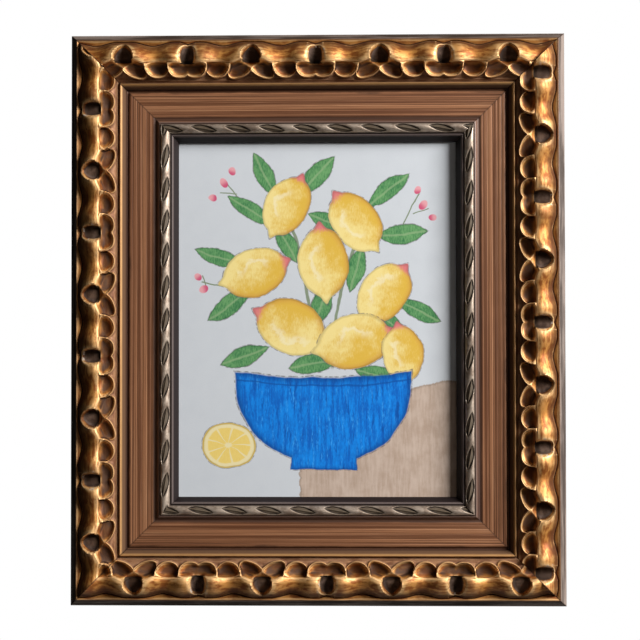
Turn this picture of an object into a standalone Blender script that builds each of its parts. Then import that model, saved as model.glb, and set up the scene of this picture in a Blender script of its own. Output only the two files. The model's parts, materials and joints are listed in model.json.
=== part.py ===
"""A framed watercolour: four lengths of one carved moulding, mitred round a sheet of paper.

Metres. +X is to the viewer's right, +Z is up, the picture faces -Y and the wall is on the +Y side.
The origin is on the rear face of the sawtooth hanger, at its middle, where the wall nail bears.

Each rail is modelled in its own frame: x runs along it, z runs from its outer edge in towards the
picture, and -y is its height off the wall. In the functions of the carving, u is a place along the
rail in metres, s is the distance from the nearest eye, v the distance in from the outer edge, and
heights and all that is measured with s and v are in millimetres.
"""

import math

import bmesh
import bpy
from mathutils import Matrix

MM = 0.001

# The picture seen inside the frame, and the moulding round it.
SIGHT_WIDTH = 0.273
SIGHT_HEIGHT = 0.349
RAIL_WIDTH = 0.1075
FRAME_WIDTH = SIGHT_WIDTH + 2 * RAIL_WIDTH
FRAME_HEIGHT = SIGHT_HEIGHT + 2 * RAIL_WIDTH
MITRE_GAP = 0.3 * MM
TOUCH_GAP = 0.3 * MM

# The rebate at the back, and what lies in it.
REBATE_WIDTH = 9.5 * MM
REBATE_DEPTH = 10.0 * MM
SHEET_MARGIN = 3.2 * MM
SHEET_THICKNESS = 0.5 * MM
BOARD_THICKNESS = 3.0 * MM
POINT_LENGTH = 12.0 * MM
POINT_WIDTH = 6.0 * MM
POINT_THICKNESS = 0.8 * MM
POINT_SPREAD = 90.0 * MM

# The hanger on the back of the top rail.
HANGER_BELOW_TOP = 45.0 * MM
HANGER_HALF_LENGTH = 24.0 * MM
HANGER_TOP = 5.5 * MM
HANGER_VALLEY = -3.0 * MM
HANGER_TOOTH = 2.0 * MM
HANGER_THICKNESS = 0.9 * MM
HANGER_RAISE = 1.6 * MM
HANGER_EAR = 11.0 * MM
HANGER_BEND = 2.0 * MM
HANGER_TEETH = 6
NAIL_RADIUS = 2.2 * MM
NAIL_HEAD = 0.7 * MM
NAIL_SIDES = 12

BACK_Y = -(HANGER_RAISE + HANGER_THICKNESS + TOUCH_GAP)
CENTRE_Z = HANGER_BELOW_TOP - FRAME_HEIGHT / 2

# The carving repeats along a rail: an eye, a bone, a notch and a bone, with leaves along their inner
# side, symmetric about each eye and each notch. Distances along it are stated for a pitch of
# NOMINAL_PITCH and stretch with the pitch of the rail.
NOMINAL_PITCH = 124.9
HALF_PITCH = NOMINAL_PITCH / 2
ROPE_PITCH_SHARE = 33.25 / NOMINAL_PITCH

# Heights off the wall and distances in from the outer edge, in millimetres. The bone's crown lies
# BONE_CROWN of the way across it, and it falls by BONE_FALL of its rise to a sharp arris.
BONE_BASE = 26.2
BONE_EDGE = 10.8
BONE_CROWN = 0.88
BONE_FALL = 0.07
ARRIS_WALL = 0.9
EYE_FLOOR = 28.6
EYE_HALF_WIDTH = 10.0
EYE_APEX = 13.5
EYE_SLOPE = 5.0
NOTCH_FLOOR = 27.6
NOTCH_HALF_LENGTH = 5.4
NOTCH_START = 11.5
NOTCH_RAMP = 3.0
KNOB_ROUND = 8.5
ROPE_CENTRE = 95.4
ROPE_HALF_WIDTH = 4.7
ROPE_SLANT = 2.07

# Plain lengths of the moulding's section, as (across, height).
SIDE = [(0.0, 0.0), (0.0, 6.0), (8.3, 26.8)]
LEDGE = (9.6, 27.3)
GROUND = (48.7, 24.8)
FILLET_AND_PANEL = [
    (49.9, 23.5),
    (50.8, 24.8),
    (51.8, 27.0),
    (54.3, 24.9),
    (57.8, 18.6),
    (60.6, 20.8),
    (84.0, 20.1),
    (86.0, 19.7),
    (89.4, 22.7),
]
SIGHT_EDGE = [
    (ROPE_CENTRE + ROPE_HALF_WIDTH, 19.2),
    (101.7, 21.2),
    (103.5, 19.1),
    (RAIL_WIDTH / MM, 13.5),
    (RAIL_WIDTH / MM, REBATE_DEPTH / MM),
    ((RAIL_WIDTH - REBATE_WIDTH) / MM, REBATE_DEPTH / MM),
    ((RAIL_WIDTH - REBATE_WIDTH) / MM, 0.0),
]

# Where the rows and the columns of facets fall on the carving: rows by their distance from an eye,
# columns by their share of the way across the bone, the leaves and half the rope.
CARVING_ROWS = [0.0, 5.4, 9.8, 15.5, 21.4, 27.0, 33.0, 38.5, 43.4, 49.2, 53.8, 56.5, HALF_PITCH]
BONE_COLUMNS = [0.0, 0.2, 0.46, 0.76, 1.0]
LEAF_COLUMNS = [0.0, 0.4, 0.78, 1.0]
ROPE_COLUMNS = [-0.98, -0.55, 0.0, 0.55]
ROPE_ROWS_PER_REPEAT = 4
ROW_TO_MITRE = 1.2 * MM

# Each rail: its turn about Y, its length, the frame's size across it, the pitch of its carving, and
# how far an eye and a ribbon of the rope are off its middle.
RAILS = {
    "rail_bottom": (0, FRAME_WIDTH, FRAME_HEIGHT, 124.9 * MM, 71.7 * MM, 2.5 * MM),
    "rail_left": (90, FRAME_HEIGHT, FRAME_WIDTH, 120.5 * MM, -24.2 * MM, 17.3 * MM),
    "rail_top": (180, FRAME_WIDTH, FRAME_HEIGHT, 124.9 * MM, 63.7 * MM, -5.7 * MM),
    "rail_right": (270, FRAME_HEIGHT, FRAME_WIDTH, 121.2 * MM, 57.0 * MM, 9.7 * MM),
}


def smoothstep(low, high, value):
    t = min(max((value - low) / (high - low), 0.0), 1.0)
    return t * t * (3 - 2 * t)


def between(low, high, share):
    return low + (high - low) * share


def bump(value, centre, reach):
    """1 at the centre, falling smoothly to 0 at the reach on each side."""
    return 1 - smoothstep(0.0, reach, abs(value - centre))


def through(stations, value):
    """A smooth line through a few (place, height) stations, level at each of them."""
    if value <= stations[0][0]:
        return stations[0][1]
    for (start, low), (end, high) in zip(stations, stations[1:]):
        if value <= end:
            return between(low, high, smoothstep(start, end, value))
    return stations[-1][1]


def bone_foot(s):
    """Millimetres across, where the bone rises from the ledge: it draws in at the waist and the notch."""
    waist = 4.2 * bump(s, 28.0, 20.0)
    notch = 2.6 * max(0.0, 1 - (HALF_PITCH - s) / 7.5)
    return BONE_EDGE + waist + notch


def bone_arris(s):
    """Millimetres across, where the bone ends in a sharp edge above the leaves."""
    return through([(9.0, 29.6), (20.0, 32.8), (34.0, 31.2), (50.0, 32.2)], s)


def bone_crest(s):
    """Height of the bone's back: a knob beside the eye, a waist, and a knob beside the notch."""
    return through([(11.0, 40.2), (31.5, 34.8), (48.5, 40.2), (55.0, 39.2)], s)


def arris_height(s):
    return BONE_BASE + (bone_crest(s) - BONE_BASE) * (1 - BONE_FALL) - 0.9


def bone_height(s, v):
    """The bone's rounded back with its knobbed ends, the eye's bowl and the notch's floor."""
    foot, arris = bone_foot(s), bone_arris(s)
    share = min(max((v - foot) / (arris - foot), 0.0), 1.0)
    rise = 1 - (1 - min(share / BONE_CROWN, 1.0)) ** 2.2 - BONE_FALL * smoothstep(0.75, 1.0, share)
    height = BONE_BASE + (bone_crest(s) - BONE_BASE) * rise - (0.9 if share == 1 else 0.0)
    # The knob rounds over to the notch and stands over its hollow floor.
    wall = HALF_PITCH - NOTCH_HALF_LENGTH + 1.4 * min(((v - 23.5) / 9.0) ** 2, 1.2)
    over = min(max((s - wall + KNOB_ROUND) / KNOB_ROUND, 0.0), 1.0)
    knob = (1 - over**2) ** 0.8
    floor = NOTCH_FLOOR + 1.4 * smoothstep(20.0, 14.0, v) + 2.6 * ((HALF_PITCH - s) / 4.6) ** 2
    sunk = smoothstep(NOTCH_START, NOTCH_START + NOTCH_RAMP, v)
    height = between(height, between(min(floor, height), height, knob), sunk)
    return between(height, min(height, EYE_FLOOR), eye_depth(s, v))


def eye_depth(s, v):
    """1 on the floor of the pointed eye's bowl, 0 outside it."""
    share = max(0.0, 26.5 - v) / 13.0
    width = EYE_HALF_WIDTH * max(0.0, 1 - share**1.75) ** 0.66 * (1 - 0.3 * smoothstep(27.0, 33.0, v))
    inside = min((width - s) / math.sqrt(1 + 1.2 * share**2), (v - EYE_APEX) * 0.9)
    return 1 - (1 - min(max(inside / EYE_SLOPE, 0.0), 1.0)) ** 2.2


# Each leaf: middle along, middle across, half length, half width, slope, roundness, depth of scoop,
# and its fall away from the eye.
LEAVES = [
    (10.5, 38.6, 12.0, 7.6, 0.30, 2.2, 4.2, 0.24),
    (33.0, 34.0, 12.2, 12.4, 0.0, 2.1, 5.4, 0.21),
    (54.6, 34.0, 11.0, 12.1, 0.0, 2.4, 4.8, 0.17),
]
LEAF_WALL_FOOT = 31.0
LEAF_RIM = 0.5
LEAF_RIM_FOOT = 0.9
LEAF_BACK = 34.4
LEAF_FALL = 0.27


def leaf_rim(s):
    """Millimetres across, where the leaves' scalloped rim runs."""
    reach = 0.0
    for along, across, length, width, slope, roundness, _, _ in LEAVES:
        x = abs(s - along) / length
        if x < 1:
            lobe = width * (1 - x**roundness) ** (1 / roundness)
            reach = max(reach, across + slope * (s - along) + lobe)
    return reach


def leaf_height(s, v):
    """Three scooped leaves on each side of the eye, each lapping over the one before."""
    rim_plane = LEAF_BACK - LEAF_FALL * (v - 33.0)
    wall = (arris_height(s) - LEAF_WALL_FOOT) * smoothstep(4.5, -1.0, v - bone_arris(s))
    height = GROUND[1] - 0.55 * (v - GROUND[0])
    for along, across, length, width, slope, roundness, scoop, fall in LEAVES:
        x = abs(s - along) / length
        z = max(0.0, v - across - slope * (s - along)) / width
        radius = (x**roundness + z**roundness) ** (1 / roundness)
        bowl = rim_plane - fall * (s - along) - scoop * max(0.0, 1 - radius**3.2) ** 0.9 + wall
        bowl += LEAF_RIM * bump(radius, 1.0, 0.1)
        height = between(bowl, height, smoothstep(1.0, 1.0 + LEAF_RIM_FOOT / width, radius))
    below_notch = smoothstep(54.0, 59.5, s) * (1 - smoothstep(39.5, 43.0, v))
    height = between(height, 29.4 - 0.34 * (v - 33.0), below_notch)
    below_eye = 28.4 + 0.05 * s * s + 0.9 * max(0.0, v - 31.5)
    height = between(height, min(height, below_eye), smoothstep(12.0, 5.5, s))
    # No leaf stands over the arris beside it.
    return min(height, arris_height(s) + 0.2)


def rope_height(u, v, pitch):
    """A half-round with slanted ribbons, and a ribbed leaf sunk between each two of them."""
    x = (v - ROPE_CENTRE) / ROPE_HALF_WIDTH
    round_back = math.sqrt(max(0.0, 1 - x * x))
    base = between(22.6, 20.6, (x + 1) / 2)
    phase = (u + ROPE_SLANT * (v - ROPE_CENTRE)) / pitch % 1.0
    ribbon = smoothstep(0.32, 0.46, abs(phase - 0.5))
    return base + 3.6 * round_back - 0.8 * (1 - ribbon) * round_back


def from_eye(u, pitch, eye):
    """Distance from the nearest eye to a place along the rail, at the nominal pitch."""
    return abs((u - eye + pitch / 2) % pitch - pitch / 2) * NOMINAL_PITCH / pitch


def carving_rows(length, pitch, eye):
    """Places along a rail of the rows of facets on the bone and the leaves."""
    rows = []
    scale = pitch / NOMINAL_PITCH
    first = math.floor((-length / 2 - eye) / pitch) - 1
    last = math.ceil((length / 2 - eye) / pitch) + 1
    for repeat in range(first, last + 1):
        middle = eye + repeat * pitch
        rows += [middle - s * scale for s in reversed(CARVING_ROWS[1:])]
        rows += [middle + s * scale for s in CARVING_ROWS[:-1]]
    return rows


def mitred_line(rows, across_at, height_at, length):
    """A line of points along the rail, ending in the planes of both mitres."""

    def short_of_mitre(u):
        return length / 2 - MITRE_GAP - abs(u) - across_at(u) * MM

    ends = []
    for side in (-1, 1):
        inner, outer = side * (length / 2 - RAIL_WIDTH - MITRE_GAP), side * length / 2
        for _ in range(40):
            middle = (inner + outer) / 2
            if short_of_mitre(middle) >= 0:
                inner = middle
            else:
                outer = middle
        ends.append(inner)
    inside = [u for u in rows if ends[0] + ROW_TO_MITRE < u < ends[1] - ROW_TO_MITRE]
    inside = [u for u in inside if short_of_mitre(u) > 0]
    return [(u, across_at(u) * MM, height_at(u, across_at(u)) * MM) for u in (ends[0], *inside, ends[1])]


def section_columns(length, pitch, eye, rope_phase):
    """The rail's surface as lines of points, in order round its section."""

    def plain(across, height, places=()):
        return mitred_line(places, lambda u: across, lambda u, v: height, length)

    def bone(share):
        def across(u):
            s = from_eye(u, pitch, eye)
            return between(bone_foot(s), bone_arris(s), share)

        return mitred_line(rows, across, lambda u, v: bone_height(from_eye(u, pitch, eye), v), length)

    def leaves(share, beyond=0.0):
        def across(u):
            s = from_eye(u, pitch, eye)
            return between(bone_arris(s) + ARRIS_WALL, leaf_rim(s), share) + beyond

        return mitred_line(rows, across, lambda u, v: leaf_height(from_eye(u, pitch, eye), v), length)

    def rope(share):
        across = ROPE_CENTRE + share * ROPE_HALF_WIDTH
        shift = rope_phase - ROPE_SLANT * share * ROPE_HALF_WIDTH * MM
        step = rope_pitch / ROPE_ROWS_PER_REPEAT
        count = math.ceil(length / 2 / step)
        places = [shift + i * step for i in range(-count, count + 1)]
        height = lambda u, v: rope_height((u - rope_phase) / MM, v, rope_pitch / MM)
        return mitred_line(places, lambda u: across, height, length)

    rows = carving_rows(length, pitch, eye)
    rope_pitch = pitch * ROPE_PITCH_SHARE
    columns = [plain(*point) for point in SIDE]
    columns += [plain(*LEDGE, rows)]
    columns += [bone(share) for share in BONE_COLUMNS]
    columns += [leaves(share) for share in LEAF_COLUMNS]
    columns += [leaves(1.0, LEAF_RIM_FOOT)]
    columns += [plain(*GROUND, rows)]
    columns += [plain(*point) for point in FILLET_AND_PANEL]
    columns += [rope(share) for share in ROPE_COLUMNS]
    columns += [plain(*point) for point in SIGHT_EDGE]
    return columns


def zip_lines(bm, left, right):
    """Triangles between two lines of vertices that run the same way but may differ in number."""
    i = j = 0
    while i < len(left) - 1 or j < len(right) - 1:
        left_reach = (left[i + 1].co - right[j].co).length if i < len(left) - 1 else math.inf
        right_reach = (right[j + 1].co - left[i].co).length if j < len(right) - 1 else math.inf
        if left_reach <= right_reach:
            bm.faces.new((left[i], left[i + 1], right[j]))
            i += 1
        else:
            bm.faces.new((left[i], right[j + 1], right[j]))
            j += 1


def rail_mesh(name, length, opposite, pitch, eye, rope_phase):
    """A closed length of moulding, with its outer edge half the opposite size from the middle."""
    bm = bmesh.new()
    lines = []
    for column in section_columns(length, pitch, eye, rope_phase):
        lines.append([bm.verts.new((u, -h, v - opposite / 2)) for u, v, h in column])
    for left, right in zip(lines, lines[1:] + lines[:1]):
        zip_lines(bm, left, right)
    bm.faces.new([line[0] for line in lines])
    bm.faces.new([line[-1] for line in lines])
    bmesh.ops.recalc_face_normals(bm, faces=bm.faces)
    return finished_mesh(bm, name)


def finished_mesh(bm, name):
    mesh = bpy.data.meshes.new(name)
    bm.to_mesh(mesh)
    bm.free()
    return mesh


def make_material(name, color, roughness, metallic=0.0):
    material = bpy.data.materials.new(name)
    material.use_nodes = True
    shader = material.node_tree.nodes["Principled BSDF"]
    shader.inputs["Base Color"].default_value = (*color, 1.0)
    shader.inputs["Roughness"].default_value = roughness
    shader.inputs["Metallic"].default_value = metallic
    return material


def add_piece(name, mesh, material, parent, location=(0.0, 0.0, 0.0)):
    piece = bpy.data.objects.new(name, mesh)
    mesh.materials.append(material)
    parts.objects.link(piece)
    piece.parent = parent
    piece.location = location
    return piece


def add_slab(name, width, height, thickness, front, material, parent):
    """A flat board standing behind the sight edge, its front face at the given height off the wall."""
    bm = bmesh.new()
    bmesh.ops.create_cube(bm, size=1.0)
    bmesh.ops.scale(bm, verts=bm.verts, vec=(width, thickness, height))
    middle = (0.0, -(front - thickness / 2), 0.0)
    return add_piece(name, finished_mesh(bm, name), material, parent, middle)


def add_rails(material, parent):
    for name, (turn, length, opposite, pitch, eye, rope_phase) in RAILS.items():
        mesh = rail_mesh(name, length, opposite, pitch, eye, rope_phase)
        rail = add_piece(name, mesh, material, parent)
        rail.rotation_euler = (0.0, math.radians(turn), 0.0)


def add_picture(paper, board, parent):
    sheet_front = REBATE_DEPTH - TOUCH_GAP
    board_front = sheet_front - SHEET_THICKNESS - TOUCH_GAP
    sheet_size = (SIGHT_WIDTH + 2 * SHEET_MARGIN, SIGHT_HEIGHT + 2 * SHEET_MARGIN)
    add_slab("painting_sheet", *sheet_size, SHEET_THICKNESS, sheet_front, paper, parent)
    clear = 2 * (REBATE_WIDTH - 1.0 * MM)
    board_size = (SIGHT_WIDTH + clear, SIGHT_HEIGHT + clear)
    add_slab("backing_board", *board_size, BOARD_THICKNESS, board_front, board, parent)
    return board_front - BOARD_THICKNESS


def point_mesh(name):
    """A flat steel point, its square heel against the rebate's wall and its tip over the board."""
    bm = bmesh.new()
    bmesh.ops.create_cube(bm, size=1.0)
    bmesh.ops.scale(bm, verts=bm.verts, vec=(POINT_LENGTH, POINT_THICKNESS, POINT_WIDTH))
    for vert in bm.verts:
        if vert.co.x > 0:
            vert.co.z *= 0.3
    return finished_mesh(bm, name)


def add_points(steel, parent, board_back):
    """Two points on each long side of the board and one on each short side."""
    rebate_x = SIGHT_WIDTH / 2 + REBATE_WIDTH - TOUCH_GAP - POINT_LENGTH / 2
    rebate_z = SIGHT_HEIGHT / 2 + REBATE_WIDTH - TOUCH_GAP - POINT_LENGTH / 2
    y = -(board_back - TOUCH_GAP - POINT_THICKNESS / 2)
    places = {
        "framers_point_left_upper": (-rebate_x, POINT_SPREAD, 0),
        "framers_point_left_lower": (-rebate_x, -POINT_SPREAD, 0),
        "framers_point_right_upper": (rebate_x, POINT_SPREAD, 180),
        "framers_point_right_lower": (rebate_x, -POINT_SPREAD, 180),
        "framers_point_top": (0.0, rebate_z, 90),
        "framers_point_bottom": (0.0, -rebate_z, 270),
    }
    for name, (x, z, turn) in places.items():
        point = add_piece(name, point_mesh(name), steel, parent, (x, y, z))
        point.rotation_euler = (0.0, math.radians(turn), 0.0)


def hanger_mesh():
    """A strip with teeth along its lower edge and its middle bent away from the frame."""
    flat_end = HANGER_HALF_LENGTH - HANGER_EAR
    bend_end = flat_end - HANGER_BEND
    teeth = [between(-bend_end, bend_end, i / (2 * HANGER_TEETH)) for i in range(2 * HANGER_TEETH + 1)]
    stations = [-HANGER_HALF_LENGTH, -flat_end, *teeth, flat_end, HANGER_HALF_LENGTH]
    bm = bmesh.new()
    bmesh.ops.create_grid(bm, x_segments=len(stations) - 1, y_segments=1, size=0.5)
    for vert in bm.verts:
        place = round((vert.co.x + 0.5) * (len(stations) - 1))
        x = stations[place]
        raised = abs(x) < flat_end - 1e-6
        tooth = raised and place % 2 == 1
        low = HANGER_VALLEY - (HANGER_TOOTH if tooth else 0.0)
        vert.co = (x, 0.0 if raised else -HANGER_RAISE, HANGER_TOP if vert.co.y > 0 else low)
    return finished_mesh(bm, "sawtooth_hanger")


def add_hanger(steel, parent):
    hanger = add_piece("sawtooth_hanger", hanger_mesh(), steel, parent)
    solidify = hanger.modifiers.new("Sheet", "SOLIDIFY")
    solidify.thickness = HANGER_THICKNESS
    solidify.offset = 1.0
    solidify.use_even_offset = False
    ear_back = BACK_Y + TOUCH_GAP + HANGER_THICKNESS
    nail_x = HANGER_HALF_LENGTH - HANGER_EAR / 2
    for name, side in (("hanger_nail_left", -1), ("hanger_nail_right", 1)):
        bm = bmesh.new()
        turn = Matrix.Rotation(math.radians(90), 4, "X")
        bmesh.ops.create_cone(
            bm,
            cap_ends=True,
            segments=NAIL_SIDES,
            radius1=NAIL_RADIUS,
            radius2=NAIL_RADIUS,
            depth=NAIL_HEAD,
            matrix=turn,
        )
        place = (side * nail_x, ear_back + TOUCH_GAP + NAIL_HEAD / 2, (HANGER_TOP + HANGER_VALLEY) / 2)
        nail = add_piece(name, finished_mesh(bm, name), steel, parent, place)
        nail.data.shade_smooth()
        nail.data.set_sharp_from_angle(angle=math.radians(40))


for old in list(bpy.data.objects):
    bpy.data.objects.remove(old)

parts = bpy.data.collections.new("framed_watercolour")
bpy.context.scene.collection.children.link(parts)

gilt = make_material("gilded_moulding", (0.42, 0.24, 0.08), 0.42, 0.6)
paper = make_material("watercolour_paper", (0.78, 0.80, 0.83), 0.85)
hardboard = make_material("hardboard", (0.28, 0.18, 0.10), 0.8)
steel = make_material("zinc_steel", (0.55, 0.56, 0.58), 0.38, 1.0)

centre = bpy.data.objects.new("picture_centre", None)
parts.objects.link(centre)
centre.location = (0.0, BACK_Y, CENTRE_Z)

hook = bpy.data.objects.new("hanging_point", None)
parts.objects.link(hook)

add_rails(gilt, centre)
board_back = add_picture(paper, hardboard, centre)
add_points(steel, centre, board_back)
add_hanger(steel, hook)
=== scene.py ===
import json
import math

import bmesh
import bpy
import numpy as np
from mathutils import Matrix, Vector

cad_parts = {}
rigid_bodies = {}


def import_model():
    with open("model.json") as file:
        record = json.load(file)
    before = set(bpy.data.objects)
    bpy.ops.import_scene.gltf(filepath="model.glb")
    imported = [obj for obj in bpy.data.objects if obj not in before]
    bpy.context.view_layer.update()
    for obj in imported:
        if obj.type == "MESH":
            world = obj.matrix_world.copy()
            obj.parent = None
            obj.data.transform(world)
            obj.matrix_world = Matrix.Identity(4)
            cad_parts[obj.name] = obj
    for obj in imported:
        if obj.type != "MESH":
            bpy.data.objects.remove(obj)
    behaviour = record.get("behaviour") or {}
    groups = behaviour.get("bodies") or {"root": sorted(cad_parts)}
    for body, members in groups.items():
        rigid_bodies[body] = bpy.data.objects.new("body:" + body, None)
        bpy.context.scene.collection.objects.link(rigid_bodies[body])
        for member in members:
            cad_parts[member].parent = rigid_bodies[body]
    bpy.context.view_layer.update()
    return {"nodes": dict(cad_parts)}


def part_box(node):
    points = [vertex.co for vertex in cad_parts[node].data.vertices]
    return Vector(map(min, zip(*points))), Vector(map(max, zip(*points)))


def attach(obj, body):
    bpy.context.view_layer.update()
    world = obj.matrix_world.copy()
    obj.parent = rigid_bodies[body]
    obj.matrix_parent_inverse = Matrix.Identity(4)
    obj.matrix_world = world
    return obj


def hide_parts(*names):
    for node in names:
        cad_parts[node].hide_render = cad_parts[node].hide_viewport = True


for old in list(bpy.data.objects):
    bpy.data.objects.remove(old)

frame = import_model()

# ---------------------------------------------------------------------------------------------
# The carved moulding. Four lengths of one picture moulding in wood and composition ornament,
# mitred at the corners: an ornamented gilt outer band, a combed brown panel, a silvered rope
# and a black sight edge.
MM = 0.001
NOMINAL_PITCH = 124.9
HALF_PITCH = NOMINAL_PITCH / 2
ROPE_PITCH_SHARE = 33.25 / NOMINAL_PITCH
ROW_SPACING = 0.93 * MM
MITRE_GAP = 0.03 * MM
RAIL_WIDTH = 107.5
REBATE_WIDTH = 9.5
REBATE_DEPTH = 10.0

# Each rail: its turn about Y, the pitch of its carving, and how far an eye and a ribbon of the
# rope are off its middle.
RAILS = {
    "rail_bottom": (0, 124.9 * MM, 71.7 * MM, 2.5 * MM),
    "rail_left": (90, 120.5 * MM, -24.2 * MM, 17.3 * MM),
    "rail_top": (180, 124.9 * MM, 63.7 * MM, -5.7 * MM),
    "rail_right": (270, 121.2 * MM, 57.0 * MM, 9.7 * MM),
}

rail_boxes = {name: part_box(name) for name in RAILS}
frame_left = rail_boxes["rail_left"][0].x
frame_right = rail_boxes["rail_right"][1].x
frame_bottom = rail_boxes["rail_bottom"][0].z
frame_top = rail_boxes["rail_top"][1].z
back_y = rail_boxes["rail_top"][1].y
frame_width = frame_right - frame_left
frame_height = frame_top - frame_bottom
frame_centre = Vector(((frame_left + frame_right) / 2, back_y, (frame_top + frame_bottom) / 2))

# The plain lengths of the section, as millimetres in from the outer edge and height off the wall.
LEDGE_HEIGHT = 27.0
GROUND_HEIGHT = 26.3
CARVING_START, CARVING_END = 9.8, 48.8
SECTION = np.array([
    (0.0, 6.0), (8.0, 25.8), (8.3, 26.9), (8.65, 27.5), (9.0, 27.7), (9.35, 27.6), (9.7, 27.4),
    (10.2, 27.2), (14.8, 25.7), (48.6, 24.9), (49.1, 24.3), (49.6, 23.7), (50.2, 23.5),
    (50.7, 24.4), (51.1, 26.1), (51.5, 26.9), (51.9, 27.0), (52.3, 26.8), (54.2, 25.0),
    (54.8, 24.2), (55.8, 22.6), (56.7, 20.9), (57.4, 19.3), (57.9, 18.6), (58.4, 18.6),
    (59.1, 19.4), (60.0, 20.5), (60.8, 20.8), (83.6, 20.2), (84.6, 19.7), (85.8, 19.6),
    (86.8, 20.0), (87.8, 21.0), (88.6, 22.0), (89.3, 22.7), (89.9, 22.8), (90.4, 22.2),
    (90.7, 21.2), (100.1, 19.0), (100.5, 19.4), (101.0, 20.5), (101.6, 21.2), (102.3, 21.0),
    (103.0, 20.0), (103.6, 18.8), (107.0, 14.3), (107.5, 13.5),
])
REED_PLACES = (63.2, 67.6, 72.4, 77.2, 81.4)
ROPE_CENTRE = 95.4
ROPE_HALF_WIDTH = 4.7
ROPE_LEAF_HALF_LENGTH = 0.41
ROPE_LEAF_SLANT = 1.2


def smoothstep(low, high, value):
    t = np.clip((value - low) / (high - low), 0.0, 1.0)
    return t * t * (3 - 2 * t)


def between(low, high, share):
    return low + (high - low) * share


def bump(value, centre, reach):
    return 1 - smoothstep(0.0, reach, np.abs(value - centre))


def through(stations, value):
    """A smooth line through a few (place, height) stations, level at each of them."""
    line = np.full_like(value, stations[0][1])
    for (start, low), (end, high) in zip(stations, stations[1:]):
        line = line + (high - low) * smoothstep(start, end, value)
    return line


def from_eye(u, pitch, eye):
    """Millimetres from the nearest eye along the rail, at the nominal pitch."""
    return np.abs((u - eye + pitch / 2) % pitch - pitch / 2) * NOMINAL_PITCH / pitch


def bone_foot(s):
    """Where the bone rises from the ledge: it draws in at the waist and the notch."""
    waist = 4.2 * bump(s, 28.0, 20.0)
    notch = 2.6 * np.maximum(0.0, 1 - (HALF_PITCH - s) / 7.5)
    return 10.8 + waist + notch


def bone_arris(s):
    """Where the bone ends in a sharp edge above the leaves."""
    return through([(9.0, 29.6), (20.0, 32.8), (34.0, 31.2), (50.0, 32.2)], s)


def bone_crest(s):
    """Height of the bone's back: a knob beside the eye, a waist, and a knob beside the notch."""
    return through([(11.0, 40.2), (31.5, 34.8), (48.5, 40.2), (55.0, 39.2)], s)


NOTCH_WALL = HALF_PITCH - 4.6
KNOB_ROUND = 8.5


def eye_inside(s, v):
    """Millimetres in from the eye's pointed outline, negative outside it."""
    share = np.maximum(0.0, 26.5 - v) / 13.0
    width = 10.0 * np.maximum(0.0, 1 - share**1.75) ** 0.66 * (1 - 0.3 * smoothstep(27.0, 33.0, v))
    slope = 1 / np.sqrt(1 + 1.2 * share**2)
    return np.minimum((width - s) * slope, (v - 13.5) * 0.9)


def bone_whole(s, v):
    """The bone's rounded back, steep on its outer side, before the eye and the notch are cut."""
    foot, arris = bone_foot(s), bone_arris(s)
    share = np.clip((v - foot) / (arris - foot), 0.0, 1.0)
    rise = 1 - (1 - np.minimum(share / 0.88, 1.0)) ** 2.2 - 0.07 * smoothstep(0.75, 1.0, share)
    height = LEDGE_HEIGHT - 0.8 + (bone_crest(s) - LEDGE_HEIGHT + 0.8) * rise
    return height - 0.9 * np.clip(1 - (arris - v) / 1.1, 0.0, 1.0) ** 2


def bone_height(s, v):
    """The bone with its knobbed ends, the eye's bowl and the notch's floor."""
    height = bone_whole(s, v)
    # The knob rounds over to the notch and stands over its hollow floor.
    wall = NOTCH_WALL - 0.8 + 1.4 * np.minimum(((v - 23.5) / 9.0) ** 2, 1.2)
    over = np.clip((s - wall + KNOB_ROUND) / KNOB_ROUND, 0.0, 1.0)
    knob = np.maximum(0.0, 1 - over**2.0) ** 0.8
    off_middle = (HALF_PITCH - s) / (HALF_PITCH - NOTCH_WALL)
    floor = np.minimum(27.6 + 1.4 * smoothstep(20.0, 14.0, v) + 2.6 * off_middle**2, height)
    sunk = smoothstep(11.5, 14.5, v)
    height = between(height, between(floor, height, knob), sunk)
    # The eye is a bowl with a raised lip.
    inside = eye_inside(s, v)
    lip = smoothstep(12.5, 15.0, v) * smoothstep(29.5, 27.0, v)
    height = height + 0.3 * np.exp(-((inside + 0.5) / 0.6) ** 2) * lip
    depth = 1 - (1 - np.clip((inside + 0.1) / 5.0, 0.0, 1.0)) ** 2.2
    return between(height, np.minimum(height, 28.6), depth)


# Each leaf: middle along, middle across, half length, half width, slope, roundness, scoop, and
# its fall away from the eye.
LEAVES = [
    (10.5, 38.6, 12.0, 7.6, 0.30, 2.2, 4.2, 0.24),
    (33.0, 34.0, 12.2, 12.4, 0.0, 2.1, 5.4, 0.21),
    (54.6, 34.0, 11.0, 12.1, 0.0, 2.4, 4.8, 0.17),
]


def leaf_radius(s, v, leaf):
    """0 at the middle of a leaf and 1 on its rim."""
    along, across, length, width, slope, roundness, _, _ = leaf
    x = np.abs(s - along) / length
    z = np.maximum(0.0, v - across - slope * (s - along)) / width
    return (x**roundness + z**roundness) ** (1 / roundness)


def leaf_rim(s):
    """Where the leaves' scalloped rim runs, in from the outer edge."""
    reach = np.zeros_like(s)
    for along, across, length, width, slope, roundness, _, _ in LEAVES:
        x = np.minimum(np.abs(s - along) / length, 1.0)
        lobe = width * (1 - x**roundness) ** (1 / roundness)
        reach = np.where(x < 1, np.maximum(reach, across + slope * (s - along) + lobe), reach)
    return reach


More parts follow.
